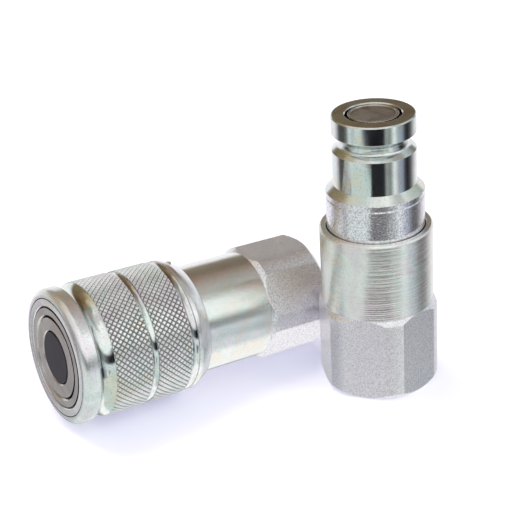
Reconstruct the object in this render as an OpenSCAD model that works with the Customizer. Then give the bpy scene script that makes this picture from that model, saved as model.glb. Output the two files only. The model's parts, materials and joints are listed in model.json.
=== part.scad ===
// Flat-face quick coupling for a liquid cooling line, uncoupled, as its two halves.
// The plug half stands on its port end at the origin. The socket half lies beside it,
// on the rear collar of its locking sleeve and on one flat of its hexagon.
// Plug pieces are drawn upwards from the port end. Socket pieces are drawn along their
// own axis, from the mating face backwards, and then laid down.

/* [Plug nose] */
// Diameter of the nose that the socket takes
nose_d = 19.7; // [19.3:0.1:20.3]
// Length of the nose that goes into the socket
nose_len = 16.7; // [16.2:0.1:17.5]
// Distance from the nose's face to the middle of its ball groove
groove_at = 6.4; // [6:0.1:7]
// Depth of the ball groove
groove_depth = 1.7; // [1.4:0.05:1.8]
// Width of the ball groove at its floor
groove_floor_w = 1.6; // [1.2:0.1:2]
// Width of the ball groove at its mouth
groove_mouth_w = 4.2; // [3.6:0.1:4.6]
// Radius of the fillets in the ball groove's floor
groove_fillet = 1.2; // [0.6:0.1:1.5]
// Chamfer on the rim of the nose's face
nose_rim = 0.3; // [0.1:0.05:0.5]

/* [Plug collar] */
// Diameter of the collar below the nose
collar_d = 23.3; // [22.6:0.1:23.8]
// Height of the collar that stands above the adapter's rim
collar_show = 9.1; // [7:0.1:12]
// Depth to which the collar sits in the adapter
collar_seat = 4.8; // [4:0.1:6]
// Distance of the scribed line below the collar's top edge
scribe_drop = 1.4; // [1:0.1:4]
// Width of the scribed line
scribe_w = 0.4; // [0.2:0.05:0.6]
// Diameter of the threaded tail below the collar
plug_tail_d = 20.8; // [20.6:0.1:21]
// Length of the threaded tail below the collar
plug_tail_len = 12; // [10:0.1:13]

/* [Plug valve] */
// Diameter of the poppet's face
poppet_d = 11.9; // [11.3:0.1:12.2]
// Gap between the poppet's face and the nose around it
poppet_gap = 0.6; // [0.4:0.05:0.8]
// Width of the valve seat that stops the poppet
seat_w = 0.5; // [0.3:0.05:0.6]
// Depth of the valve seat below the nose's face
seat_at = 3; // [2.6:0.1:3.4]
// Length of the close bore below the valve seat
close_bore_len = 6.7; // [6:0.1:8]
// Diameter of the flow bore in the nose
flow_bore_d = 16.8; // [16.2:0.1:17.2]
// Length of the poppet's shoulder
shoulder_len = 4.6; // [4.2:0.1:5.4]
// Diameter of the poppet's guide stem
poppet_stem_d = 4; // [3.4:0.1:4.8]
// Thickness of each guide spider
spider_t = 3; // [2.4:0.1:3.6]
// Thickness of the snap ring below the plug's spider
snap_t = 0.9; // [0.7:0.05:1.2]
// Wire diameter of the poppet spring
plug_wire_d = 1.2; // [0.9:0.05:1.3]

/* [Adapters] */
// Size of both hexagons across their flats
hex_af = 27; // [26.6:0.1:28]
// Diameter to which the hexagons' corners are turned
hex_corner_d = 29; // [28.6:0.1:30.5]
// Height of the turned chamfers at the ends of the hexagons
hex_chamfer_h = 1.3; // [0.8:0.05:1.8]
// Length of the plug's hexagon
plug_hex_len = 21.6; // [18:0.1:26]
// Length of the plug adapter's round barrel
plug_barrel_len = 19.5; // [18.5:0.1:24]
// Length of the socket's hexagon
socket_hex_len = 17.4; // [16:0.1:22]
// Minor diameter of the threaded ports
port_d = 14.95; // [13.5:0.05:16]
// Depth of the threaded ports
port_depth = 14; // [12:0.1:14.4]
// Chamfer at the mouths of the ports
port_mouth = 0.45; // [0.2:0.05:0.5]
// Diameter of the waterway above the ports
waterway_d = 13; // [11:0.1:13.4]

/* [Locking sleeve] */
// Length of the locking sleeve
sleeve_len = 33.3; // [32.6:0.1:36]
// Wall of the locking sleeve outside its ball recess
sleeve_wall = 2.45; // [2.2:0.05:3]
// Length of the sleeve's lip in front of its first groove
lip_len = 3.4; // [2.8:0.1:4]
// Length of the first, widest groove
groove_1_len = 4.5; // [4:0.1:5]
// Length of the front knurled band
band_1_len = 9.2; // [8:0.1:10.5]
// Length of the groove between the knurled bands
groove_2_len = 1.8; // [1.2:0.1:2]
// Length of the rear knurled band
band_2_len = 9; // [8:0.1:9.4]
// Length of the groove in front of the rear collar
groove_3_len = 1.8; // [1.2:0.1:2]
// Depth of the first groove
groove_1_depth = 1.1; // [0.7:0.05:1.15]
// Depth of the other two grooves
fine_groove_depth = 0.8; // [0.6:0.05:1.1]
// Height of the knurl's points above its valleys
knurl_h = 0.42; // [0.25:0.01:0.5]
// Number of knurl points around the sleeve
knurl_count = 70; // [40:1:76]
// Distance that the sleeve can be pulled back
sleeve_travel = 5; // [4:0.1:5.3]
// Diameter of the stop pin in the rear collar
pin_d = 1.5; // [1.2:0.1:1.8]
// Height of the stop pin above the collar's taper
pin_proud = 0.5; // [0.2:0.05:0.7]
// Turn of the stop pin from the top of the sleeve
pin_turn = -7; // [-40:1:40]

/* [Socket body] */
// Wall of the socket body around its bore
cage_wall = 2.3; // [2.1:0.05:2.6]
// Length of the socket body with its threaded tail
cage_len = 44; // [42:0.1:46]
// Distance from the mating face to the adapter's front face
adapter_at = 29; // [28:0.1:30]
// Diameter of the locking balls
ball_d = 4; // [3.8:0.05:4.2]
// Number of locking balls that the body's holes are drilled for
ball_count = 8; // [8]
// Length of the cavity in the socket's adapter, from the stem's spider to the port
cavity_len = 8.5; // [8.2:0.1:12]
// Wire diameter of the sleeve spring
sleeve_wire_d = 1; // [0.8:0.05:1.05]

/* [Socket valve] */
// Length of the sliding valve sleeve
valve_len = 18; // [17.4:0.1:19]
// Wall of the valve sleeve behind its front land
valve_wall = 1.8; // [1.4:0.05:2.1]
// Diameter of the fixed stem's head
stem_head_d = 12.6; // [12.2:0.1:13.2]
// Length of the fixed stem's head
stem_head_len = 6; // [5.4:0.1:7]
// Diameter of the fixed stem's shaft
stem_d = 6; // [5:0.1:7]
// Wire diameter of the valve spring
valve_wire_d = 1.1; // [0.9:0.05:1.2]

/* [Seals] */
// Section of the nose seal in the socket's bore
nose_seal_d = 1.7; // [1.5:0.05:1.8]
// Width of the backup ring beside the nose seal
backup_w = 0.9; // [0.7:0.05:1.1]
// Section of the small seals on the poppet and the stem
valve_seal_d = 1.2; // [1:0.05:1.3]
// Section of the seals between bodies and adapters
joint_seal_d = 1.1; // [0.9:0.05:1.2]

/* [Layout] */
// Turn of the lying socket's axis
socket_yaw = 31.5; // [20:0.1:50]
// Gap between the hexagon corners of the two halves
halves_gap = 0.1; // [0.1:0.1:5]
// Distance by which the socket's port end stops short of the plug's axis
port_end_short = 4.6; // [0:0.1:10]

/* [Clearances] */
// Running clearance between sliding pieces, on the radius
run_gap = 0.05; // [0.02:0.01:0.08]
// Clearance of the locking sleeve on the body and adapter, on the radius
sleeve_gap = 0.08; // [0.05:0.01:0.1]
// Clearance of screwed and pressed pieces that belong together, on the radius
seat_gap = 0.05; // [0.02:0.01:0.08]
// Clearance around the loose locking balls
ball_gap = 0.08; // [0.05:0.01:0.12]

/* [Hidden] */
$fn = 96;

steel = "#c3c4c0";
bright_steel = "#d6d8d4";
dark_steel = "#57525a";
spring_steel = "#8d8f90";
seal_black = "#202124";

// Radii that fit together, from the nose outwards
nose_r = nose_d / 2;
bore_r = nose_r + run_gap;
valve_r = bore_r - 2 * run_gap;
cage_r = bore_r + cage_wall;
cage_tail_r = cage_r - 0.2;
spring_room = 1.3;
adapter_r = cage_r + spring_room;
ball_r = ball_d / 2;
ball_ring_r = valve_r + run_gap + ball_r;
recess_r = ball_ring_r + ball_r + 0.2;
sleeve_r = recess_r + sleeve_wall;
land_r = cage_r + sleeve_gap;
chamber_r = adapter_r + sleeve_gap;
stem_head_r = stem_head_d / 2;
port_r = port_d / 2;
waterway_r = waterway_d / 2;

// Heights on the plug, from its port end
plug_rim_z = plug_hex_len + plug_barrel_len;
collar_r = collar_d / 2;
collar_floor_z = plug_rim_z - collar_seat;
collar_top_z = plug_rim_z + collar_show;
nose_root_z = collar_top_z + collar_r - nose_r;
nose_face_z = nose_root_z + nose_len;
groove_z = nose_face_z - groove_at;
groove_r = nose_r - groove_depth;
plug_tail_z = collar_floor_z - plug_tail_len;
plug_tail_r = plug_tail_d / 2;
seat_z = nose_face_z - seat_at;
mouth_r = poppet_d / 2 + poppet_gap;
close_bore_r = mouth_r + seat_w;
flow_bore_r = flow_bore_d / 2;
shoulder_top_z = seat_z - seat_w - 0.1;
shoulder_z = shoulder_top_z - shoulder_len;
shoulder_r = close_bore_r - 2 * run_gap;
poppet_travel = nose_len;
tail_bore_r = flow_bore_r + 0.4;
plug_spider_z = plug_tail_z + 6;
plug_spider_top_z = plug_spider_z + spider_t;
snap_z = plug_spider_z - snap_t - 0.05;

// Places on the socket, from its mating face backwards
ball_at = nose_len - groove_at;
seal_groove_at = ball_at + ball_r + 1.4;
seal_groove_len = nose_seal_d + backup_w + 0.1;
sleeve_front_land = 2.8;
recess_end = ball_at + 0.95;
rear_land_end = 18;
washer_t = 0.8;
slip = 0.02;
groove_1_end = lip_len + groove_1_len;
band_1_end = groove_1_end + band_1_len;
groove_2_end = band_1_end + groove_2_len;
band_2_end = groove_2_end + band_2_len;
groove_3_end = band_2_end + groove_3_len;
collar_edge_at = groove_3_end + 1;
collar_slope = 0.57;
rear_collar_r = sleeve_r - 0.1;
pin_at = groove_3_end + 2.3;
pin_foot_r = rear_collar_r - (pin_at - collar_edge_at) * collar_slope;
stem_foot_at = cage_len;
adapter_shoulder_at = cage_len + spider_t;
socket_len = adapter_shoulder_at + cavity_len + port_depth;
stem_spigot_r = stem_d / 2 - 0.5;
nut_af = 8;
nut_t = 3;

// The socket lies with its rear collar and its hexagon's rear edge on the ground
socket_tilt = atan((rear_collar_r - hex_af / 2) / (socket_len - collar_edge_at));
socket_z = socket_len * sin(socket_tilt) + hex_af / 2 * cos(socket_tilt) + slip;
corner_r = hex_corner_d / 2;
axes_apart = corner_r + sqrt(corner_r ^ 2 - (port_end_short + hex_chamfer_h) ^ 2) + halves_gap;
face_back = socket_len * cos(socket_tilt) + port_end_short;

// A solid of revolution about Z from [radius, height] points
module turned(points) {
    rotate_extrude() polygon(points);
}

// A rubber ring of round section
module o_ring(mean_r, section_d, at) {
    translate([0, 0, at]) rotate_extrude() translate([mean_r, 0]) circle(d = section_d, $fn = 48);
}

// Moves a socket piece from its own axis to where the socket lies
module lay_socket() {
    rotate([0, 0, socket_yaw]) translate([-face_back, axes_apart, socket_z])
        rotate([0, 90 + socket_tilt, 0]) rotate([0, 0, 180]) children();
}

// A hexagon bar with its corners turned off and both ends chamfered
module hex_bar(length) {
    end_r = hex_af / 2 - 0.15;
    intersection() {
        linear_extrude(length) circle(d = hex_af / cos(30), $fn = 6);
        turned([[0, 0], [end_r, 0], [corner_r, hex_chamfer_h], [corner_r, length - hex_chamfer_h],
            [end_r, length], [0, length]]);
    }
}

// The outside of an adapter, with its port end at zero
module adapter_blank(hex_len, barrel_len) {
    edge = 0.4;
    end_z = hex_len + barrel_len;
    hex_bar(hex_len);
    turned([[0, hex_len / 2], [adapter_r, hex_len / 2], [adapter_r, end_z - edge],
        [adapter_r - edge, end_z], [0, end_z]]);
}

// The bore of an adapter's threaded port with its mouth chamfer, up to the waterway
module port_bore(waterway_top) {
    turned([[0, -1], [port_r + port_mouth + 1, -1], [port_r, port_mouth], [port_r, port_depth],
        [waterway_r, port_depth + 0.6], [waterway_r, waterway_top], [0, waterway_top]]);
}

// A closed coil spring standing on its first coil, with a dead coil at each end
module coil_spring(length, mean_r, wire_d, turns, steps) {
    sides = 6;
    rings = turns * steps;
    active_pitch = (length - 3 * wire_d) / (turns - 2);
    function rise(t) = wire_d / 2 + wire_d * (min(t, 1) + max(t - turns + 1, 0))
        + active_pitch * max(0, min(t - 1, turns - 2));
    function at(k, m) = let (a = 360 * m / sides, r = mean_r + wire_d / 2 * cos(a), b = 360 * k / steps)
        [r * cos(b), r * sin(b), rise(k / steps) + wire_d / 2 * sin(a)];
    function id(k, m) = k * sides + m % sides;
    polyhedron(
        points = [for (k = [0:rings]) for (m = [0:sides - 1]) at(k, m)],
        faces = concat(
            [[for (m = [sides - 1:-1:0]) id(0, m)], [for (m = [0:sides - 1]) id(rings, m)]],
            [for (k = [0:rings - 1]) for (m = [0:sides - 1]) [id(k, m), id(k, m + 1), id(k + 1, m + 1)]],
            [for (k = [0:rings - 1]) for (m = [0:sides - 1]) [id(k, m), id(k + 1, m + 1), id(k + 1, m)]]));
}

// A ring whose outside is covered with the four-sided points of a diamond knurl
module knurled_ring(valley_r, point_r, inner_r, from, length) {
    cols = 2 * knurl_count;
    pitch = 2 * PI * point_r / knurl_count;
    rows = 2 * round(length / pitch);
    function is_point(i, j) = (i + j) % 2 == 1 && j > 0 && j < rows;
    function at(r, i, j) = [r * cos(360 * i / cols), r * sin(360 * i / cols), from + length * j / rows];
    function id(i, j) = (i + cols) % cols + j * cols;
    inner_0 = cols * (rows + 1);
    inner_1 = inner_0 + cols;
    polyhedron(
        points = concat(
            [for (j = [0:rows]) for (i = [0:cols - 1]) at(is_point(i, j) ? point_r : valley_r, i, j)],
            [for (j = [0, rows]) for (i = [0:cols - 1]) at(inner_r, i, j)]),
        faces = concat(
            [for (j = [0:rows - 1]) for (i = [0:cols - 1]) if ((i + j) % 2 == 1) each
                [[id(i, j), id(i, j + 1), id(i + 1, j)], [id(i, j), id(i - 1, j), id(i, j + 1)]]],
            [for (j = [1:rows]) for (i = [0:cols - 1]) if ((i + j) % 2 == 1) each
                [[id(i, j), id(i + 1, j), id(i, j - 1)], [id(i, j), id(i, j - 1), id(i - 1, j)]]],
            [for (i = [0:cols - 1]) [id(i, 0), id(i + 1, 0), inner_0 + (i + 1) % cols, inner_0 + i]],
            [for (i = [0:cols - 1]) [id(i, rows), inner_1 + i, inner_1 + (i + 1) % cols, id(i + 1, rows)]],
            [for (i = [0:cols - 1]) [inner_0 + i, inner_0 + (i + 1) % cols,
                inner_1 + (i + 1) % cols, inner_1 + i]]));
}

// Points of a shallow groove with a round floor, between two places along the axis
function round_groove(from, to, rim_r, depth, steps) =
    let (half = (to - from) / 2, arc_r = (half * half + depth * depth) / (2 * depth), reach = asin(half / arc_r))
    [for (i = [0:steps]) let (a = reach * (2 * i / steps - 1))
        [rim_r - depth + arc_r * (1 - cos(a)), (from + to) / 2 + arc_r * sin(a)]];

// A guide spider: a ring and a hub joined by four arms
module spider(outer_r, inner_r, hub_r, hole_r, from) {
    difference() {
        union() {
            translate([0, 0, from]) difference() {
                cylinder(r = outer_r, h = spider_t);
                translate([0, 0, -1]) cylinder(r = inner_r, h = spider_t + 2);
            }
            translate([0, 0, from]) cylinder(r = hub_r, h = spider_t);
            for (turn = [0, 90]) rotate([0, 0, turn]) translate([-inner_r - 0.4, -0.9, from])
                cube([2 * inner_r + 0.8, 1.8, spider_t]);
        }
        translate([0, 0, from - 1]) cylinder(r = hole_r, h = spider_t + 2);
    }
}

module plug_adapter() {
    color(steel) difference() {
        rotate([0, 0, 40]) adapter_blank(plug_hex_len, plug_barrel_len);
        port_bore(plug_tail_z);
        turned([[0, port_depth + 2.5], [waterway_r, port_depth + 2.5],
            [flow_bore_r, port_depth + 2.5 + flow_bore_r - waterway_r],
            [flow_bore_r, plug_tail_z - 1.5], [plug_tail_r + seat_gap, plug_tail_z - 1.5],
            [plug_tail_r + seat_gap, collar_floor_z - joint_seal_d - 0.5],
            [plug_tail_r + joint_seal_d + 0.1, collar_floor_z - joint_seal_d - 0.5],
            [plug_tail_r + joint_seal_d + 0.1, collar_floor_z],
            [collar_r + 0.2, collar_floor_z], [collar_r + 0.2, plug_rim_z - 0.2],
            [collar_r + 1.4, plug_rim_z + 1], [0, plug_rim_z + 1]]);
    }
}

// Points of the ball groove: a floor with a fillet to the flank on either side
function ball_groove(steps) =
    let (flank = atan(2 * groove_depth / (groove_mouth_w - groove_floor_w)),
        level_half = groove_floor_w / 2 - groove_fillet * tan(flank / 2))
    [for (i = [-steps:steps]) let (a = flank * i / steps)
        [groove_r + groove_fillet * (1 - cos(a)), groove_z + level_half * sign(i) + groove_fillet * sin(a)]];

module plug_nose_body() {
    mouth_half = groove_mouth_w / 2;
    scribe_z = collar_top_z - scribe_drop;
    snap_r = tail_bore_r + 0.5;
    color(bright_steel) difference() {
        turned(concat([[0, plug_tail_z], [plug_tail_r - 0.5, plug_tail_z], [plug_tail_r, plug_tail_z + 0.5],
            [plug_tail_r, collar_floor_z], [collar_r, collar_floor_z],
            [collar_r, scribe_z - scribe_w / 2], [collar_r - scribe_w / 2, scribe_z],
            [collar_r, scribe_z + scribe_w / 2], [collar_r, collar_top_z],
            [nose_r, nose_root_z], [nose_r, groove_z - mouth_half]], ball_groove(4),
            [[nose_r, groove_z + mouth_half], [nose_r, nose_face_z - nose_rim],
            [nose_r - nose_rim, nose_face_z], [0, nose_face_z]]));
        turned([[0, plug_tail_z - 1], [tail_bore_r, plug_tail_z - 1], [tail_bore_r, snap_z - 0.05],
            [snap_r, snap_z - 0.05], [snap_r, plug_spider_z], [tail_bore_r, plug_spider_z],
            [tail_bore_r, plug_spider_top_z + 0.05], [flow_bore_r, plug_spider_top_z + 0.05],
            [flow_bore_r, seat_z - close_bore_len - (flow_bore_r - close_bore_r)],
            [close_bore_r, seat_z - close_bore_len], [close_bore_r, seat_z - seat_w],
            [mouth_r, seat_z], [mouth_r, nose_face_z - 0.25], [mouth_r + 1.25, nose_face_z + 1],
            [0, nose_face_z + 1]]);
    }
}

module plug_body_seal() {
    color(seal_black) o_ring(plug_tail_r + 0.05 + joint_seal_d / 2, joint_seal_d,
        collar_floor_z - joint_seal_d / 2 - 0.25);
}

// Height of the poppet seal's middle, in its groove in the shoulder
poppet_seal_z = shoulder_top_z - 1.9;

module plug_poppet() {
    face_r = poppet_d / 2;
    stem_r = poppet_stem_d / 2;
    groove_half = valve_seal_d / 2 + 0.1;
    color(bright_steel) turned([[0, plug_spider_z - 0.8], [stem_r - 0.3, plug_spider_z - 0.8],
        [stem_r, plug_spider_z - 0.5], [stem_r, shoulder_z - 3], [stem_r + 1.2, shoulder_z - 1.8],
        [stem_r + 1.2, shoulder_z], [shoulder_r, shoulder_z], [shoulder_r, poppet_seal_z - groove_half],
        [shoulder_r - valve_seal_d, poppet_seal_z - groove_half],
        [shoulder_r - valve_seal_d, poppet_seal_z + groove_half],
        [shoulder_r, poppet_seal_z + groove_half], [shoulder_r, shoulder_top_z - 0.6],
        [face_r, shoulder_top_z - 0.6 + shoulder_r - face_r], [face_r, nose_face_z - 0.15],
        [face_r - 0.15, nose_face_z], [face_r - 0.55, nose_face_z], [face_r - 0.7, nose_face_z - 0.3],
        [0.35, nose_face_z - 0.3], [0, nose_face_z - 0.5]]);
}

module plug_poppet_seal() {
    color(seal_black) o_ring(shoulder_r - valve_seal_d / 2 + 0.05, valve_seal_d - 0.06, poppet_seal_z);
}

module plug_spring() {
    mean_r = shoulder_r - plug_wire_d / 2 - 0.2;
    color(spring_steel) translate([0, 0, plug_spider_top_z + slip])
        coil_spring(shoulder_z - plug_spider_top_z - 2 * slip, mean_r, plug_wire_d, 8, 16);
}

module plug_spider() {
    color(steel) spider(tail_bore_r - seat_gap, tail_bore_r - 1.3, poppet_stem_d / 2 + 1.5,
        poppet_stem_d / 2 + run_gap, plug_spider_z);
}

module plug_snap_ring() {
    color(dark_steel) translate([0, 0, snap_z]) difference() {
        cylinder(r = tail_bore_r + 0.45, h = snap_t);
        translate([0, 0, -1]) cylinder(r = tail_bore_r - 0.9, h = snap_t + 2);
        translate([0, -1.5, -1]) cube([2 * tail_bore_r, 3, snap_t + 2]);
    }
}

module socket_adapter() {
    barrel_len = socket_len - socket_hex_len - adapter_at;
    shoulder = socket_len - adapter_shoulder_at;
    front = socket_len - adapter_at;
    chamber = adapter_r - 4;
    color(steel) lay_socket() translate([0, 0, socket_len]) rotate([180, 0, 0]) difference() {
        rotate([0, 0, 30]) adapter_blank(socket_hex_len, barrel_len);
        port_bore(port_depth + 2);
        turned([[0, port_depth + 1], [waterway_r, port_depth + 1],
            [chamber, port_depth + 1 + chamber - waterway_r], [chamber, shoulder],
            [cage_tail_r + seat_gap, shoulder], [cage_tail_r + seat_gap, front + 1], [0, front + 1]]);
    }
}

// Place of the seal between the socket body's tail and its adapter
tail_seal_at = cage_len - 2.5;

module socket_body() {
    tail_groove_half = joint_seal_d / 2 + 0.1;
    color(bright_steel) lay_socket() difference() {
        turned([[0, 0], [cage_r - 0.2, 0], [cage_r, 0.2], [cage_r, adapter_at], [cage_tail_r, adapter_at],
            [cage_tail_r, tail_seal_at - tail_groove_half],
            [cage_tail_r - joint_seal_d, tail_seal_at - tail_groove_half],
            [cage_tail_r - joint_seal_d, tail_seal_at + tail_groove_half],
            [cage_tail_r, tail_seal_at + tail_groove_half], [cage_tail_r, cage_len], [0, cage_len]]);
        turned([[0, -1], [bore_r + 1.6, -1], [bore_r, 0.6], [bore_r, seal_groove_at],
            [bore_r + nose_seal_d, seal_groove_at], [bore_r + nose_seal_d, seal_groove_at + seal_groove_len],
            [bore_r, seal_groove_at + seal_groove_len], [bore_r, cage_len + 1], [0, cage_len + 1]]);
        for (i = [1:ball_count]) rotate([0, 0, ball_turn(i)]) translate([0, 0, ball_at])
            rotate([0, 90, 0]) cylinder(r = ball_r + ball_gap, h = sleeve_r);
    }
}

// Turn of each ball about the socket's axis
function ball_turn(i) = (i - 0.5) * 360 / ball_count;

module locking_ball(i) {
    color(bright_steel) lay_socket() rotate([0, 0, ball_turn(i)])
        translate([ball_ring_r, 0, ball_at]) sphere(r = ball_r);
}

module socket_body_seal() {
    color(seal_black) lay_socket()
        o_ring(cage_tail_r - joint_seal_d / 2 + 0.02, joint_seal_d - 0.02, tail_seal_at);
}

module nose_seal() {
    color(seal_black) lay_socket()
        o_ring(bore_r + nose_seal_d / 2, nose_seal_d - 0.04, seal_groove_at + nose_seal_d / 2);
}

module nose_backup_ring() {
    from = seal_groove_at + nose_seal_d + 0.05;
    color("white") lay_socket() turned([[bore_r, from], [bore_r + nose_seal_d - 0.1, from],
        [bore_r + nose_seal_d - 0.1, from + backup_w], [bore_r, from + backup_w]]);
}

module locking_sleeve() {
    core_r = sleeve_r - knurl_h;
    fine_r = sleeve_r - fine_groove_depth;
    lip_round = 0.8;
    color(steel) lay_socket() difference() {
        union() {
            turned(concat([[0, 0], [sleeve_r - 2.2, 0.3], [sleeve_r - 2, 0]],
                [for (a = [0:15:90]) [sleeve_r - lip_round * (1 - sin(a)), lip_round * (1 - cos(a))]],
                [[sleeve_r, lip_len - 0.2]],
                round_groove(lip_len, groove_1_end, sleeve_r - 0.2, groove_1_depth - 0.2, 10),
                [[core_r - 0.2, groove_1_end + 0.3], [core_r - 0.2, band_1_end - 0.3]],
                round_groove(band_1_end, groove_2_end, fine_r + 0.3, 0.3, 4),
                [[core_r - 0.2, groove_2_end + 0.3], [core_r - 0.2, band_2_end - 0.3]],
                round_groove(band_2_end, groove_3_end, fine_r + 0.3, 0.3, 4),
                [[rear_collar_r, groove_3_end + 0.2], [rear_collar_r, collar_edge_at],
                [rear_collar_r - (sleeve_len - 0.4 - collar_edge_at) * collar_slope, sleeve_len - 0.4],
                [rear_collar_r - (sleeve_len - collar_edge_at) * collar_slope - 0.4, sleeve_len],
                [0, sleeve_len]]));
            knurled_ring(core_r, sleeve_r, recess_r + 1, groove_1_end, band_1_len);
            knurled_ring(core_r, sleeve_r, recess_r + 1, groove_2_end, band_2_len);
        }
        turned([[0, -1], [land_r + 1.3, -1], [land_r, 0.3], [land_r, sleeve_front_land],
            [recess_r, sleeve_front_land + 0.3], [recess_r, recess_end],
            [land_r, recess_end + recess_r - land_r], [land_r, rear_land_end],
            [chamber_r, rear_land_end], [chamber_r, sleeve_len - 0.3],
            [chamber_r + 1.3, sleeve_len + 1], [0, sleeve_len + 1]]);
        rotate([0, 0, pin_turn]) translate([chamber_r + 0.4, 0, pin_at]) rotate([0, 90, 0])
            cylinder(d = pin_d + 2 * slip, h = sleeve_r, $fn = 32);
    }
}

module sleeve_pin() {
    foot = chamber_r + 0.4 + slip;
    color(bright_steel) lay_socket() rotate([0, 0, pin_turn]) translate([foot, 0, pin_at])
        rotate([0, 90, 0]) turned([[0, 0], [pin_d / 2, 0], [pin_d / 2, pin_foot_r + pin_proud - foot - 0.2],
            [pin_d / 2 - 0.2, pin_foot_r + pin_proud - foot], [0, pin_foot_r + pin_proud - foot]]);
}

module sleeve_spring_washer() {
    from = rear_land_end + slip;
    color(spring_steel) lay_socket() turned([[land_r, from], [chamber_r - 0.1, from],
        [chamber_r - 0.1, from + washer_t], [land_r, from + washer_t]]);
}

module sleeve_spring() {
    from = rear_land_end + washer_t + 2 * slip;
    color(spring_steel) lay_socket() translate([0, 0, from])
        coil_spring(adapter_at - slip - from, (cage_r + chamber_r) / 2, sleeve_wire_d, 4, 24);
}

module valve_sleeve() {
    land_len = stem_head_len;
    land_in_r = stem_head_r + 2 * run_gap;
    back_in_r = valve_r - valve_wall;
    color(bright_steel) lay_socket() turned([[land_in_r + 0.4, 0], [valve_r - 0.2, 0], [valve_r, 0.2],
        [valve_r, valve_len], [back_in_r, valve_len], [back_in_r, land_len + back_in_r - land_in_r],
        [land_in_r, land_len], [land_in_r, 0.4]]);
}

module valve_sleeve_spring() {
    from = valve_len + slip;
    color(spring_steel) lay_socket() translate([0, 0, from])
        coil_spring(stem_foot_at - slip - from, valve_r - valve_wire_d / 2 - 0.2, valve_wire_d, 6, 16);
}

// Place of the seal in the stem's head
stem_seal_at = stem_head_len / 2 + 0.4;

module stem() {
    shaft_r = stem_d / 2;
    groove_half = valve_seal_d / 2 + 0.1;
    end_at = adapter_shoulder_at + nut_t + 1;
    color(dark_steel) lay_socket() turned([[0, 0], [stem_head_r - 0.25, 0], [stem_head_r, 0.25],
        [stem_head_r, stem_seal_at - groove_half], [stem_head_r - valve_seal_d, stem_seal_at - groove_half],
        [stem_head_r - valve_seal_d, stem_seal_at + groove_half], [stem_head_r, stem_seal_at + groove_half],
        [stem_head_r, stem_head_len], [shaft_r, stem_head_len + stem_head_r - shaft_r],
        [shaft_r, stem_foot_at], [stem_spigot_r, stem_foot_at], [stem_spigot_r, end_at - 0.4],
        [stem_spigot_r - 0.4, end_at], [0, end_at]]);
}

module stem_seal() {
    color(seal_black) lay_socket()
        o_ring(stem_head_r - valve_seal_d / 2 + 0.05, valve_seal_d - 0.06, stem_seal_at);
}

module stem_spider() {
    color(steel) lay_socket() spider(cage_tail_r - seat_gap, bore_r - 1.3, stem_d / 2 + 1.3,
        stem_spigot_r + seat_gap, stem_foot_at);
}

module stem_nut() {
    color(steel) lay_socket() translate([0, 0, adapter_shoulder_at]) difference() {
        linear_extrude(nut_t) circle(d = nut_af / cos(30), $fn = 6);
        translate([0, 0, -1]) cylinder(r = stem_spigot_r + seat_gap, h = nut_t + 2);
    }
}

plug_adapter();
plug_nose_body();
plug_body_seal();
plug_poppet();
plug_poppet_seal();
plug_spring();
plug_spider();
plug_snap_ring();
socket_adapter();
socket_body();
socket_body_seal();
nose_seal();
nose_backup_ring();
locking_ball(1);  // locking_ball_1
locking_ball(2);  // locking_ball_2
locking_ball(3);  // locking_ball_3
locking_ball(4);  // locking_ball_4
locking_ball(5);  // locking_ball_5
locking_ball(6);  // locking_ball_6
locking_ball(7);  // locking_ball_7
locking_ball(8);  // locking_ball_8
locking_sleeve();
sleeve_pin();
sleeve_spring_washer();
sleeve_spring();
valve_sleeve();
valve_sleeve_spring();
stem();
stem_seal();
stem_spider();
stem_nut();
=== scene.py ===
# A flat-face quick coupling for a liquid cooling line, as its two halves: the plug
# stands on its port end and the socket lies beside it. All the metal is turned carbon
# steel, zinc plated and clear passivated, with black rubber seals inside.
import json
import math
import bpy
from mathutils import Matrix, Vector


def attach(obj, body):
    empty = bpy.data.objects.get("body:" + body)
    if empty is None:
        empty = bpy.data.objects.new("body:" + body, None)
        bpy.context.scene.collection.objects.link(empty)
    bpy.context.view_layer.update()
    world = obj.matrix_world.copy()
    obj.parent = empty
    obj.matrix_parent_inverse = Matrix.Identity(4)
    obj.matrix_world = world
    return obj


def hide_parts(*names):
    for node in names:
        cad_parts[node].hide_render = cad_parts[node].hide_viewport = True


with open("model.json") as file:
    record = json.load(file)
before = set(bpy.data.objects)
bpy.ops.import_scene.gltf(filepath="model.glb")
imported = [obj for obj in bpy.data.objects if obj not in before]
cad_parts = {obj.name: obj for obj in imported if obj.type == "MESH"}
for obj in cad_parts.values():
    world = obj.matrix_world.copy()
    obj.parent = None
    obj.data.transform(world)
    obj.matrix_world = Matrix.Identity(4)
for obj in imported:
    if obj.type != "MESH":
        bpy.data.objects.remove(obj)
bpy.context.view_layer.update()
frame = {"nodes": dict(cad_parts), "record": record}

# The camera stands a hand's breadth above the couplings and a quarter of a metre in
# front of them, with a short telephoto lens, tipped slightly to the left.
LENS_MM = 90.0
SENSOR_MM = 36.0
CAMERA_AT = Vector((-0.0280, -0.2783, 0.1742))
CAMERA_PITCH = math.radians(26.88)
CAMERA_ROLL = math.radians(-3.94)
ahead = Vector((0, math.cos(CAMERA_PITCH), -math.sin(CAMERA_PITCH)))
level_up = Vector((0, math.sin(CAMERA_PITCH), math.cos(CAMERA_PITCH)))
camera_right = math.cos(CAMERA_ROLL) * Vector((1, 0, 0)) + math.sin(CAMERA_ROLL) * level_up
camera_up = math.cos(CAMERA_ROLL) * level_up - math.sin(CAMERA_ROLL) * Vector((1, 0, 0))
camera_data = bpy.data.cameras.new("camera")
camera_data.lens = LENS_MM
camera_data.sensor_width = SENSOR_MM
camera = bpy.data.objects.new("camera", camera_data)
camera.matrix_world = Matrix.Translation(CAMERA_AT) @ Matrix(
    (camera_right, camera_up, -ahead)).transposed().to_4x4()
bpy.context.scene.collection.objects.link(camera)
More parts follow.
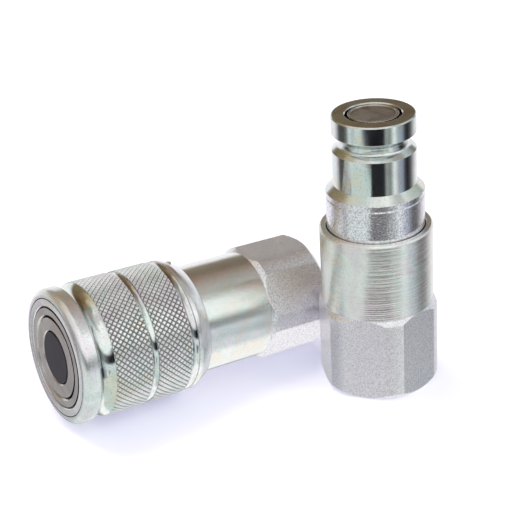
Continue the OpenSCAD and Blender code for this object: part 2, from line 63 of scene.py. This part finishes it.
bpy.context.scene.camera = camera
bpy.context.scene.view_settings.view_transform = "Standard"

# The floor is a sheet of white paper, lifted a little where the camera sees it, so that
# it stays white under plain light and keeps the shadow. Reflections look past it into
# the light tent's lower half, which is the same white paper with dark gaps between.
FLOOR_HALF = 3.0
PAPER_LIFT = 0.42


def linear(hex_colour):
    """An sRGB hex colour as linear red, green, blue and alpha."""
    parts = [int(hex_colour[i:i + 2], 16) / 255 for i in (1, 3, 5)]
    return [c / 12.92 if c <= 0.04045 else ((c + 0.055) / 1.055) ** 2.4 for c in parts] + [1.0]


def add(tree, kind, inputs=(), stops=(), **settings):
    """Adds a node with its settings and ramp stops, and its inputs as values or links."""
    made = tree.nodes.new(kind)
    for name, value in settings.items():
        setattr(made, name, value)
    for key, value in dict(inputs).items():
        if isinstance(value, bpy.types.Node):
            value = value.outputs[0]
        if isinstance(value, bpy.types.NodeSocket):
            tree.links.new(value, made.inputs[key])
        else:
            made.inputs[key].default_value = value
    for i, (position, colour) in enumerate(stops):
        spots = made.color_ramp.elements
        spot = spots[i] if i < len(spots) else spots.new(position)
        spot.position = position
        spot.color = linear(colour)
    return made


def bare_tree(owner):
    """The emptied node tree of a material or world."""
    owner.use_nodes = True
    owner.node_tree.nodes.clear()
    return owner.node_tree


floor_mesh = bpy.data.meshes.new("floor")
floor_mesh.from_pydata([(-FLOOR_HALF, -FLOOR_HALF, 0), (FLOOR_HALF, -FLOOR_HALF, 0),
    (FLOOR_HALF, FLOOR_HALF, 0), (-FLOOR_HALF, FLOOR_HALF, 0)], [], [(0, 1, 2, 3)])
floor = bpy.data.objects.new("floor", floor_mesh)
bpy.context.scene.collection.objects.link(floor)
paper = bpy.data.materials.new("white_paper")
tree = bare_tree(paper)
path = add(tree, "ShaderNodeLightPath")
sheet = add(tree, "ShaderNodeBsdfDiffuse", {"Color": linear("#f6f3ee")})
lift = add(tree, "ShaderNodeEmission", {"Color": linear("#c9ccff"),
    "Strength": add(tree, "ShaderNodeMath", {0: path.outputs["Is Camera Ray"], 1: PAPER_LIFT},
        operation="MULTIPLY")})
seen = add(tree, "ShaderNodeAddShader", {0: sheet, 1: lift})
looked_past = add(tree, "ShaderNodeBsdfTransparent")
both = add(tree, "ShaderNodeMixShader", {0: path.outputs["Is Glossy Ray"], 1: seen,
    2: looked_past})
add(tree, "ShaderNodeOutputMaterial", {"Surface": both})
floor_mesh.materials.append(paper)

# The light tent is white paper all round, lit through its front and top. It shows a dark
# gap at eye level in front, one upright gap at each side, and the dark wooden room
# behind and above. Each row gives the height where it starts and ends, and its colours
# all round, from behind over the left, the front at a half, and the right to behind.
TENT_LEVEL = 1.12
TENT = [
    (-1.00, -1.00, [(0.0, "#96a6b4"), (0.14, "#8e9298"), (0.26, "#b6bec4"), (0.42, "#d6e2e0"),
        (0.56, "#dae8e2"), (0.70, "#cfd6d8"), (0.85, "#c4c6cc"), (1.0, "#96a6b4")]),
    (-0.84, -0.70, [(0.0, "#949aa4"), (0.10, "#a2a2a8"), (0.20, "#c5c8d4"), (0.35, "#d6d6dc"),
        (0.45, "#f0f2f2"), (0.62, "#e4e8e4"), (0.70, "#cdd0da"), (0.75, "#aab2b0"), (0.79, "#7c8688"),
        (0.85, "#c4c8cc"), (0.93, "#dde0e8"), (1.0, "#949aa4")]),
    (-0.56, -0.46, [(0.0, "#f4f4f8"), (0.125, "#efeef4"), (0.161, "#bab8ba"), (0.189, "#565254"),
        (0.236, "#484848"), (0.267, "#6c7270"), (0.294, "#d8dedf"), (0.333, "#a9b0b4"), (0.361, "#f2f6f8"),
        (0.389, "#b0b4ba"), (0.408, "#606068"), (0.431, "#28262e"), (0.472, "#121118"), (0.528, "#121118"),
        (0.556, "#1c1b22"), (0.575, "#989e9c"), (0.606, "#7f8a86"), (0.639, "#eef4f4"), (0.672, "#a8b0b8"),
        (0.711, "#8e9aa8"), (0.736, "#404046"), (0.764, "#242428"), (0.80, "#5a585a"), (0.833, "#a8a6a8"),
        (0.864, "#d8d6d8"), (0.911, "#f2f2f4"), (1.0, "#f4f4f8")]),
    (-0.30, -0.24, [(0.0, "#f6f6f8"), (0.13, "#f4f4f6"), (0.20, "#b8b4ae"), (0.24, "#7c7c78"),
        (0.28, "#cbcfd2"), (0.45, "#dcdee0"), (0.60, "#dce6e6"), (0.66, "#d0d4e0"), (0.72, "#a2b0aa"),
        (0.765, "#2c3034"), (0.79, "#4a4e50"), (0.84, "#f4f8fa"), (0.92, "#d8dadc"), (1.0, "#f6f6f8")]),
    (-0.12, -0.04, [(0.0, "#f8f8fa"), (0.12, "#ebebed"), (0.18, "#a29c8c"), (0.24, "#80827a"),
        (0.36, "#a4abaa"), (0.44, "#6e7874"), (0.465, "#0a0d18"), (0.56, "#1a1e28"), (0.62, "#565c5e"),
        (0.68, "#8a8e90"), (0.75, "#50564f"), (0.79, "#8e9c96"), (0.83, "#e4eef0"), (0.90, "#eceaee"),
        (1.0, "#f8f8fa")]),
    (0.15, 0.24, [(0.0, "#dcdde0"), (0.08, "#9c9a98"), (0.16, "#7d7660"), (0.22, "#b2a490"),
        (0.30, "#9aa2a0"), (0.40, "#8a8888"), (0.48, "#8c8e90"), (0.53, "#d2d6d9"), (0.60, "#f2f6f2"),
        (0.70, "#dce8e4"), (0.76, "#8a9690"), (0.82, "#c5d8d8"), (0.90, "#8a8c86"), (0.95, "#6a5e54"),
        (1.0, "#dcdde0")]),
    (0.25, 0.33, [(0.0, "#6e6048"), (0.10, "#7c7056"), (0.20, "#9c8a70"), (0.26, "#c4bcae"),
        (0.36, "#dcdcda"), (0.46, "#f6faf8"), (0.60, "#fbfdfb"), (0.73, "#f4f8f8"), (0.78, "#c4d0d4"),
        (0.84, "#b4c0c0"), (0.90, "#5c5442"), (0.96, "#584a38"), (1.0, "#6e6048")]),
    (0.68, 0.76, [(0.0, "#786446"), (0.10, "#90806a"), (0.18, "#bcae94"), (0.26, "#d8d2c6"),
        (0.40, "#d0d8d8"), (0.46, "#fafcfc"), (0.61, "#fbfdfb"), (0.68, "#c8ccca"), (0.76, "#a8a8a2"),
        (0.86, "#968e86"), (0.95, "#7e5e48"), (1.0, "#786446")]),
    (0.87, 0.93, [(0.0, "#a89c84"), (0.12, "#c4c0a8"), (0.26, "#dcdcd8"), (0.46, "#dedfdc"),
        (0.60, "#d2d4ce"), (0.73, "#c2c8c2"), (0.80, "#a09c98"), (0.92, "#8c826f"), (1.0, "#a89c84")]),
    (0.97, 0.99, [(0.0, "#98a89a"), (0.20, "#b8c4c0"), (0.40, "#f0f0ea"), (0.64, "#ecebe6"),
        (0.80, "#b4b8b0"), (0.90, "#7e8a80"), (1.0, "#98a89a")])]
world = bpy.data.worlds.new("light_tent")
bpy.context.scene.world = world
tree = bare_tree(world)
way = add(tree, "ShaderNodeSeparateXYZ", {0: add(tree, "ShaderNodeTexCoord").outputs["Generated"]})
east, north, height = way.outputs
nearness = add(tree, "ShaderNodeMath", {0: north, 1: -1.0}, operation="MULTIPLY")
around = add(tree, "ShaderNodeMath", {0: east, 1: nearness}, operation="ARCTAN2")
around = add(tree, "ShaderNodeMath", {0: around, 1: 1 / math.tau, 2: 0.5},
    operation="MULTIPLY_ADD")
colour = linear("#ffffff")
for lowest, highest, stops in TENT:
    row = add(tree, "ShaderNodeValToRGB", {"Fac": around}, stops)
    share = add(tree, "ShaderNodeMapRange", {"Value": height, "From Min": lowest,
        "From Max": highest}, interpolation_type="SMOOTHSTEP")
    colour = add(tree, "ShaderNodeMix", {"Factor": share, 6: colour, 7: row},
        data_type="RGBA").outputs[2]
path = add(tree, "ShaderNodeLightPath")
backdrop = add(tree, "ShaderNodeMix", {"Factor": path.outputs["Is Camera Ray"], 6: colour,
    7: linear("#ffffff")}, data_type="RGBA")
air = add(tree, "ShaderNodeBackground", {"Color": backdrop.outputs[2], "Strength": TENT_LEVEL})
add(tree, "ShaderNodeOutputWorld", {"Surface": air})

# Two square softboxes shine through the tent's paper: a large one behind on the left,
# which lays the faint shadow towards the right, and a weaker one on the right.
LAMPS_AIM = Vector((-0.03, 0, 0.02))


def softbox(name, at, size, watts):
    """A square studio lamp aimed at the couplings."""
    data = bpy.data.lights.new(name, "AREA")
    data.size = size
    data.energy = watts
    lamp = bpy.data.objects.new(name, data)
    lamp.location = at
    lamp.rotation_euler = (LAMPS_AIM - Vector(at)).to_track_quat("-Z", "Y").to_euler()
    # the tent stands between lamp and couplings, so the lamp itself is never mirrored
    lamp.visible_glossy = False
    bpy.context.scene.collection.objects.link(lamp)


softbox("key_lamp", (-0.35, 0.30, 0.75), size=0.65, watts=4.0)
softbox("fill_lamp", (0.60, -0.15, 0.45), size=0.40, watts=1.5)

# The socket lies on the sheet, so what it shows low in front is the sheet itself. Only
# its reflections see this strip, since the tent's lower half is for the standing plug.
STRIP_FIBRE_MM = 1000 / 60
STRIP = [(-0.150, -0.140), (-0.034, -0.140), (-0.034, -0.024), (-0.150, -0.010)]
strip_mesh = bpy.data.meshes.new("sheet_strip")
strip_mesh.from_pydata([(x, y, -0.0002) for x, y in STRIP], [], [(0, 1, 2, 3)])
strip = bpy.data.objects.new("sheet_strip", strip_mesh)
bpy.context.scene.collection.objects.link(strip)
strip.visible_camera = strip.visible_diffuse = False
strip.visible_shadow = strip.visible_transmission = False
strip_paper = bpy.data.materials.new("sheet_in_reflections")
tree = bare_tree(strip_paper)
place = add(tree, "ShaderNodeTexCoord").outputs["Object"]
fibre = add(tree, "ShaderNodeTexNoise", {"Vector": place, "Scale": 1000 / STRIP_FIBRE_MM,
    "Detail": 3.0})
glow = add(tree, "ShaderNodeValToRGB", {"Fac": fibre}, [(0.35, "#d2dedb"), (0.65, "#e2ece8")])
paper_glow = add(tree, "ShaderNodeEmission", {"Color": glow})
add(tree, "ShaderNodeOutputMaterial", {"Surface": paper_glow})
strip_mesh.materials.append(strip_paper)

# The two adapters are hexagon bar, bored and threaded, with a turned barrel. The bar's
# drawn skin shows as coarse bright sand under the zinc, the barrel as lines round it.
HEX_TOP = 0.0216
SOCKET_HEX_FROM = 0.0521
SOCKET_LENGTH = 0.0695
# patches of the passivation's colour, and where its tints stand between thin and thick
CLOUD_MM = 1000 / 110
TINTS_AT = (0.34, 0.44, 0.50, 0.57, 0.66)
GLOSS_PLAY = 0.12
# drawn bar: the sand's depth, and how much rougher and more matt it is than turned zinc
SAND_DEEP_MM = 0.03
BAR_ROUGHER = 0.06
BAR_MATT = 0.10
# painted shade with some old oil in the face's joints: how deep behind the mating face it shows and half its
# width; and how far painted shade covers a knurl's valleys
FACE_DEPTH = 0.0006
JOINT_SHADE_HALF = 0.00013
VALLEY_SHADE = 0.62
mouth = next(m for m in frame["record"]["mounts"] if m["name"] == "socket_mouth")
socket_face = Vector(mouth["pos_m"])
socket_back = -Vector(mouth["axis"]).normalized()
socket_side = Vector((socket_back.y, -socket_back.x, 0)).normalized()
socket_turn = Matrix((socket_side.cross(socket_back), socket_side, socket_back)).transposed()


def about_axis(tree, half):
    """Place, direction outwards, radius and height of a surface point about a half's axis."""
    place = add(tree, "ShaderNodeTexCoord").outputs["Object"]
    if half == "socket":
        place = add(tree, "ShaderNodeMapping", {"Vector": place, "Location": socket_face,
            "Rotation": socket_turn.to_euler()}, vector_type="TEXTURE").outputs[0]
    xyz = add(tree, "ShaderNodeSeparateXYZ", {0: place})
    flat = add(tree, "ShaderNodeCombineXYZ", {0: xyz.outputs[0], 1: xyz.outputs[1]})
    spoke = add(tree, "ShaderNodeVectorMath", {0: flat}, operation="NORMALIZE")
    radius = add(tree, "ShaderNodeVectorMath", {0: flat}, operation="LENGTH").outputs["Value"]
    return place, spoke, radius, xyz.outputs[2]


def zinc(name, half, tints, rough, line_mm, line_deep_mm, grain_mm, grain_deep_mm,
        bar=None, gaps_mm=(), valleys_mm=None, edge_mm=0.12, matt=0.0):
    """Zinc plate with clear passivation: turning lines, grain, and a faint play of colour.

    bar is the middle and the half length, along the axis, of a coarse granular stretch.
    gaps_mm are the radii on the mating face where painted shade, with some old oil,
    darkens the joints, and valleys_mm the radii between which painted shade darkens a
    knurl, from unshaded flats to shaded valleys.
    matt is the share of the light that the crystals of the zinc scatter.
    """
    made = bpy.data.materials.new(name)
    tree = bare_tree(made)
    place, spoke, radius, along = about_axis(tree, half)
    drawn = add(tree, "ShaderNodeMath", {0: along, 1: bar[0], 2: bar[1]},
        operation="COMPARE") if bar else 0.0

    # the lines run round the axis, so their noise hardly changes along the angle
    line_along = add(tree, "ShaderNodeMath", {0: along, 1: 1000 / line_mm}, operation="MULTIPLY")
    line_out = add(tree, "ShaderNodeMath", {0: radius, 1: 1000 / line_mm}, operation="MULTIPLY")
    line_at = add(tree, "ShaderNodeVectorMath", {0: spoke, 1: (0.7, 0.7, 0.0),
        2: add(tree, "ShaderNodeCombineXYZ", {2: line_along})}, operation="MULTIPLY_ADD")
    lines = add(tree, "ShaderNodeTexNoise", {"Vector": line_at, "W": line_out, "Scale": 1.0,
        "Detail": 3.0}, noise_dimensions="4D")
    grain = add(tree, "ShaderNodeTexNoise", {"Vector": place, "Scale": 1000 / grain_mm,
        "Detail": 2.0, "Roughness": 0.6})
    cloud = add(tree, "ShaderNodeTexNoise", {"Vector": place, "Scale": 1000 / CLOUD_MM,
        "Detail": 2.0, "Distortion": 0.8})

    # heights of the lines and the grain, or of the sand alone on drawn bar
    line_height = add(tree, "ShaderNodeMath", {0: lines, 1: line_deep_mm / 1000},
        operation="MULTIPLY")
    turned_height = add(tree, "ShaderNodeMath", {0: grain, 1: grain_deep_mm / 1000,
        2: line_height}, operation="MULTIPLY_ADD")
    sand_height = add(tree, "ShaderNodeMath", {0: grain, 1: SAND_DEEP_MM / 1000},
        operation="MULTIPLY")
    height = add(tree, "ShaderNodeMix", {"Factor": drawn, 2: turned_height, 3: sand_height},
        data_type="FLOAT")
    edges = add(tree, "ShaderNodeBevel", {"Radius": edge_mm / 1000}, samples=4)
    bumps = add(tree, "ShaderNodeBump", {"Strength": 1.0, "Distance": 1.0, "Height": height,
        "Normal": edges})

    # colour: tints of the passivation, worn specks, and bright crystals on drawn bar
    tint = add(tree, "ShaderNodeValToRGB", {"Fac": cloud}, list(zip(TINTS_AT, tints)))
    specks = add(tree, "ShaderNodeValToRGB", {"Fac": grain}, [(0.34, "#8a8a8a"), (0.44, "#000000")])
    worn = add(tree, "ShaderNodeMix", {"Factor": specks, 6: tint, 7: linear("#8a868a")},
        data_type="RGBA").outputs[2]
    crystals = add(tree, "ShaderNodeValToRGB", {"Fac": grain}, [(0.36, "#cbc9d2"),
        (0.46, "#e4e2e9"), (0.60, "#fbf9fd")])
    metal = add(tree, "ShaderNodeMix", {"Factor": drawn, 6: worn, 7: crystals},
        data_type="RGBA").outputs[2]
    # painted shade with some old oil: dark circles in the joints at the gap radii on the mating face
    if gaps_mm:
        on_face = add(tree, "ShaderNodeMath", {0: along, 1: FACE_DEPTH}, operation="LESS_THAN")
    for gap in gaps_mm:
        joint_shade = add(tree, "ShaderNodeMath", {0: radius, 1: gap / 1000, 2: JOINT_SHADE_HALF},
            operation="COMPARE")
        joint_shade = add(tree, "ShaderNodeMath", {0: joint_shade, 1: on_face}, operation="MULTIPLY")
        metal = add(tree, "ShaderNodeMix", {"Factor": joint_shade, 6: metal, 7: linear("#2b2624")},
            data_type="RGBA").outputs[2]
    # painted shade: the knurl darkens from its flats down into its valleys
    if valleys_mm:
        valley_shade = add(tree, "ShaderNodeMapRange", {"Value": radius, "From Min": valleys_mm[0] / 1000,
            "From Max": valleys_mm[1] / 1000, "To Min": 0.0, "To Max": VALLEY_SHADE})
        metal = add(tree, "ShaderNodeMix", {"Factor": valley_shade, 6: metal, 7: linear("#5c564e")},
            data_type="RGBA").outputs[2]

    # gloss wanders with the tints, and drawn bar scatters more
    gloss = add(tree, "ShaderNodeMath", {0: cloud, 1: GLOSS_PLAY, 2: rough - GLOSS_PLAY / 2},
        operation="MULTIPLY_ADD")
    gloss = add(tree, "ShaderNodeMath", {0: drawn, 1: BAR_ROUGHER, 2: gloss},
        operation="MULTIPLY_ADD")
    metallic = add(tree, "ShaderNodeMath", {0: drawn, 1: -BAR_MATT, 2: 1.0 - matt},
        operation="MULTIPLY_ADD")
    skin = add(tree, "ShaderNodeBsdfPrincipled", {"Base Color": metal, "Metallic": metallic,
        "Roughness": gloss, "Normal": bumps})
    add(tree, "ShaderNodeOutputMaterial", {"Surface": skin})
    return made


def dress(node, material):
    """Gives a CAD node one material in all its slots."""
    mesh = frame["nodes"][node].data
    mesh.materials.clear()
    mesh.materials.append(material)
    for face in mesh.polygons:
        face.material_index = 0


# Silver white with the least pink, mint and straw. The turning lines are drawn about three
# times coarser than the real feed, which would be too fine to see.
BAR_ZINC = ("#ece4e8", "#edebe9", "#f1f1ef", "#e8efec", "#eeebe4")
dress("plug_adapter", zinc("zinc_on_turned_bar_plug", "plug", BAR_ZINC, rough=0.24,
    line_mm=0.5, line_deep_mm=0.07, grain_mm=0.28, grain_deep_mm=0.006, matt=0.15,
    bar=(HEX_TOP / 2, HEX_TOP / 2)))
# the socket's barrel was polished before plating, so it mirrors more and is finely grained
dress("socket_adapter", zinc("zinc_on_turned_bar_socket", "socket", BAR_ZINC, rough=0.16,
    line_mm=0.5, line_deep_mm=0.004, grain_mm=0.28, grain_deep_mm=0.02, matt=0.1,
    bar=((SOCKET_HEX_FROM + SOCKET_LENGTH) / 2, (SOCKET_LENGTH - SOCKET_HEX_FROM) / 2)))

# The nose body is finely turned, and near a mirror, so it shows the tent's dark gaps as
# upright stripes. Its collar, the plain band above the adapter, is granular and brighter.
COLLAR_MIDDLE = 0.0457
COLLAR_HALF = 0.0046
FINE_ZINC = ("#dcd8dc", "#e2e4e2", "#e8eae8", "#dce6e4", "#e4e2d6")
dress("plug_nose_body", zinc("zinc_on_fine_turning_plug", "plug", FINE_ZINC, rough=0.12,
    line_mm=0.4, line_deep_mm=0.003, grain_mm=0.4, grain_deep_mm=0.001,
    bar=(COLLAR_MIDDLE, COLLAR_HALF)))

# The faces that meet in use are the poppet's, the stem's, the valve sleeve's and the socket
# body's. They are faced on the lathe, which leaves rings round the middle, and handling
# has dulled them to a warm grey. Painted shade, with some old oil, darkens the joints
# between them as dark circles.
FACED_ZINC = ("#bfb6b2", "#c6bfbb", "#cdc8c4", "#d2cfca", "#c8c0b8")
POPPET_ZINC = ("#a79c92", "#b0a69d", "#bab1a9", "#c2bbb3", "#b2a799")
dress("plug_poppet", zinc("faced_zinc_on_poppet", "plug", POPPET_ZINC, rough=0.28,
    line_mm=0.7, line_deep_mm=0.03, grain_mm=0.4, grain_deep_mm=0.003))
dress("socket_body", zinc("faced_zinc_on_socket_body", "socket", FACED_ZINC, rough=0.26,
    line_mm=0.4, line_deep_mm=0.006, grain_mm=0.4, grain_deep_mm=0.003, gaps_mm=(9.95, 12.15)))
dress("valve_sleeve", zinc("faced_zinc_on_valve_sleeve", "socket", FACED_ZINC, rough=0.28,
    line_mm=0.4, line_deep_mm=0.006, grain_mm=0.4, grain_deep_mm=0.003, gaps_mm=(6.4, 9.80)))

# The pin that keeps the locking sleeve on is a short piece of the same plated steel.
dress("sleeve_pin", zinc("zinc_on_pin", "socket", FACED_ZINC, rough=0.22,
    line_mm=0.4, line_deep_mm=0.002, grain_mm=0.4, grain_deep_mm=0.002))

# The stem is not plated: its head is a dark violet-grey disc, matt enough to mirror nothing.
STEM_STEEL = ("#3c383f", "#413c44", "#46414a", "#49444d", "#4d4750")
# the circle at 6.25 mm is painted shade, with some old oil, in the joint round its head
dress("stem", zinc("dark_matt_stem_steel", "socket", STEM_STEEL, rough=0.42,
    line_mm=0.4, line_deep_mm=0.004, grain_mm=0.3, grain_deep_mm=0.004, gaps_mm=(6.25,)))

# The locking sleeve is turned from bar: a rounded lip, three smooth grooves for the
# fingers, two knurled bands and a tapered rear collar. The knurl is rolled in by two
# wheels, which leaves flat-topped diamonds between crossing V grooves.
SLEEVE_R = 16.5
KNURL_FLOOR_R = 16.08
DIAMONDS_ROUND = 70
STEPS_A_DIAMOND = 6
COLUMNS = DIAMONDS_ROUND * STEPS_A_DIAMOND
# height across one diamond, as a share of its rise: the V groove, then the flat top
DIAMOND_RISE = (0.0, 0.94, 1.0, 1.0, 1.0, 0.94)
LIP_END, LIP_ROUND = 3.77, 1.6
GROOVE_1_END, GROOVE_1_DEEP = 7.86, 0.66
BAND_1_END, GROOVE_2_END, BAND_2_END, GROOVE_3_END = 17.27, 19.0, 27.9, 29.9
FINE_GROOVE_DEEP = 0.27
COLLAR_R, COLLAR_EDGE, SLEEVE_END, SLEEVE_END_R = 16.4, 30.9, 34.2, 14.7
# the bore from the rear to the face: spring chamber, guiding land, ball recess, front land
SLEEVE_BORE = [(SLEEVE_END, 14.1), (33.9, 13.58), (18.0, 13.58), (18.0, 12.28),
    (13.02, 12.28), (11.25, 14.05), (3.1, 14.05), (2.8, 12.28), (0.35, 12.28)]
# the face, with its fine turned line
SLEEVE_FACE = [(0.02, 12.62), (0.0, 12.75), (0.0, 14.22), (0.22, 14.38), (0.0, 14.54)]
SMOOTH, SATIN, KNURLED = 0, 1, 2


def plain_rings(outline, finish):
    """Rings of the sleeve for an outline of places along the axis and radii."""
    return [(at, [r] * COLUMNS, finish) for at, r in outline]


def finger_groove(start, end, rim_r, deep, steps):
    """Rings of a smooth groove, a circular arc between two rims."""
    half = (end - start) / 2
    arc_r = (half * half + deep * deep) / (2 * deep)
    turns = [math.asin(half / arc_r) * (2 * i / steps - 1) for i in range(steps + 1)]
    return plain_rings([(start + half + arc_r * math.sin(t),
        rim_r - deep + arc_r * (1 - math.cos(t))) for t in turns], SMOOTH)


def knurled_band(start, end, first_row):
    """Rings of a knurled band: each column's radius is the lower of the two crossing cuts."""
    rows = round((end - start) / (math.tau * SLEEVE_R / COLUMNS))
    rise = SLEEVE_R - KNURL_FLOOR_R
    return [(start + (end - start) * j / rows, [KNURL_FLOOR_R + rise * min(
        DIAMOND_RISE[(i + j + first_row) % STEPS_A_DIAMOND],
        DIAMOND_RISE[(i - j - first_row) % STEPS_A_DIAMOND]) for i in range(COLUMNS)], KNURLED)
        for j in range(rows + 1)]


lip_turns = [math.radians(90 - 9 * i) for i in range(11)]
lip = [(LIP_ROUND * (1 - math.sin(t)), SLEEVE_R - LIP_ROUND * (1 - math.cos(t)))
    for t in lip_turns]
collar = [(GROOVE_3_END, COLLAR_R - 0.08), (GROOVE_3_END + 0.08, COLLAR_R),
    (COLLAR_EDGE, COLLAR_R), (COLLAR_EDGE + 0.1, COLLAR_R - 0.03),
    (SLEEVE_END - 0.35, SLEEVE_END_R + 0.13), (SLEEVE_END - 0.1, SLEEVE_END_R - 0.08),
    (SLEEVE_END, SLEEVE_END_R - 0.3)]
rings = plain_rings(SLEEVE_BORE[-1:] + SLEEVE_FACE + lip
    + [(LIP_END - 0.08, SLEEVE_R), (LIP_END, SLEEVE_R - 0.06)], SATIN)
rings += finger_groove(LIP_END + 0.02, GROOVE_1_END - 0.05, SLEEVE_R - 0.17, GROOVE_1_DEEP, 18)
rings += knurled_band(GROOVE_1_END, BAND_1_END, 0)
rings += finger_groove(BAND_1_END + 0.04, GROOVE_2_END - 0.04, KNURL_FLOOR_R, FINE_GROOVE_DEEP, 12)
rings += knurled_band(GROOVE_2_END, BAND_2_END, 3)
rings += finger_groove(BAND_2_END + 0.04, GROOVE_3_END - 0.04, KNURL_FLOOR_R, FINE_GROOVE_DEEP, 12)
rings += plain_rings(collar + SLEEVE_BORE[:-1], SATIN)
points, faces, finishes = [], [], []
for j, (at, radii, finish) in enumerate(rings):
    after = (j + 1) % len(rings)
    next_radii, next_finish = rings[after][1:]
    for i, r in enumerate(radii):
        angle = math.tau * i / COLUMNS
        spot = Vector((r * math.cos(angle), r * math.sin(angle), at)) / 1000
        points.append(socket_face + socket_turn @ spot)
        beside = (i + 1) % COLUMNS
        a, b = j * COLUMNS + i, j * COLUMNS + beside
        c, d = after * COLUMNS + beside, after * COLUMNS + i
        if finish == next_finish == KNURLED:
            # the seam between two triangles runs along the nearer groove
            along_ac = r + next_radii[beside] < radii[beside] + next_radii[i]
            faces += [(a, b, c), (a, c, d)] if along_ac else [(a, b, d), (b, c, d)]
            finishes += [KNURLED, KNURLED]
        else:
            faces.append((a, b, c, d))
            finishes.append(SMOOTH if SMOOTH in (finish, next_finish) else finish)
sleeve_mesh = bpy.data.meshes.new("knurled_sleeve")
sleeve_mesh.from_pydata(points, [], faces)
sleeve_mesh.polygons.foreach_set("use_smooth", [True] * len(faces))
sleeve_mesh.polygons.foreach_set("material_index", finishes)
sleeve_mesh.set_sharp_from_angle(angle=math.radians(28))

# Three finishes, in the order of their numbers: the grooves are near a mirror and carry the
# sharpest reflections, the lip and collar are satin with tiny pits and painted shade with
# some old oil in the joints of the face, and the knurl's flats are pale and scatter light,
# while painted shade darkens its valleys.
KNURL_ZINC = ("#ece6ec", "#f0f0f2", "#f6f6f8", "#e8eff0", "#efece6")
sleeve_mesh.materials.append(zinc("mirror_zinc_in_grooves", "socket", FINE_ZINC, rough=0.10,
    line_mm=0.5, line_deep_mm=0.0006, grain_mm=0.5, grain_deep_mm=0.0004))
sleeve_mesh.materials.append(zinc("satin_zinc_on_lip_and_collar", "socket", KNURL_ZINC,
    rough=0.24, line_mm=0.6, line_deep_mm=0.006, grain_mm=0.35, grain_deep_mm=0.014,
    gaps_mm=(12.32, 14.38), matt=0.15))
sleeve_mesh.materials.append(zinc("pale_zinc_on_knurl", "socket", KNURL_ZINC, rough=0.24,
    line_mm=0.4, line_deep_mm=0.0, grain_mm=0.3, grain_deep_mm=0.004, edge_mm=0.04,
    matt=0.45, valleys_mm=(16.40, 16.18)))
sleeve = bpy.data.objects.new("knurled_sleeve", sleeve_mesh)
bpy.context.scene.collection.objects.link(sleeve)
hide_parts("locking_sleeve")
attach(sleeve, "locking_sleeve")

# The inner pieces: moulded black rubber seals, the turned white back-up ring, polished
# balls, drawn spring wire, and the plain machined spiders, nut, washer and snap ring.


def inner_finish(name, dark, light, metallic, rough, grain_mm, grain_deep_mm):
    """An inner piece's skin: a fine grain in its colour, its gloss and its height."""
    made = bpy.data.materials.new(name)
    tree = bare_tree(made)
    place = add(tree, "ShaderNodeTexCoord").outputs["Object"]
    grain = add(tree, "ShaderNodeTexNoise", {"Vector": place, "Scale": 1000 / grain_mm,
        "Detail": 3.0})
    tint = add(tree, "ShaderNodeValToRGB", {"Fac": grain}, [(0.35, dark), (0.65, light)])
    gloss = add(tree, "ShaderNodeMath", {0: grain, 1: 0.1, 2: rough - 0.05},
        operation="MULTIPLY_ADD")
    height = add(tree, "ShaderNodeMath", {0: grain, 1: grain_deep_mm / 1000},
        operation="MULTIPLY")
    bumps = add(tree, "ShaderNodeBump", {"Strength": 1.0, "Distance": 1.0, "Height": height})
    skin = add(tree, "ShaderNodeBsdfPrincipled", {"Base Color": tint, "Metallic": metallic,
        "Roughness": gloss, "Normal": bumps})
    add(tree, "ShaderNodeOutputMaterial", {"Surface": skin})
    return made


INNER = [
    (inner_finish("moulded_seal_rubber", "#0b0b0c", "#17171a", 0.0, 0.5, 0.3, 0.004),
        ["plug_body_seal", "plug_poppet_seal", "socket_body_seal", "nose_seal", "stem_seal"]),
    (inner_finish("turned_fluoroplastic", "#dcdad2", "#ebe9e2", 0.0, 0.35, 0.4, 0.003), ["nose_backup_ring"]),
    (inner_finish("polished_ball_steel", "#c4c6ca", "#d2d4d6", 1.0, 0.08, 0.6, 0.0002),
        ["locking_ball_%d" % i for i in range(1, 9)]),
    (inner_finish("drawn_spring_wire", "#86868a", "#a4a4a6", 1.0, 0.3, 0.2, 0.003),
        ["plug_spring", "sleeve_spring", "valve_sleeve_spring"]),
    (inner_finish("plain_machined_steel", "#8e8c8a", "#a8a6a2", 1.0, 0.35, 0.4, 0.004),
        ["plug_spider", "plug_snap_ring", "sleeve_spring_washer", "stem_spider", "stem_nut"])]
for finish, nodes in INNER:
    for node in nodes:
        dress(node, finish)
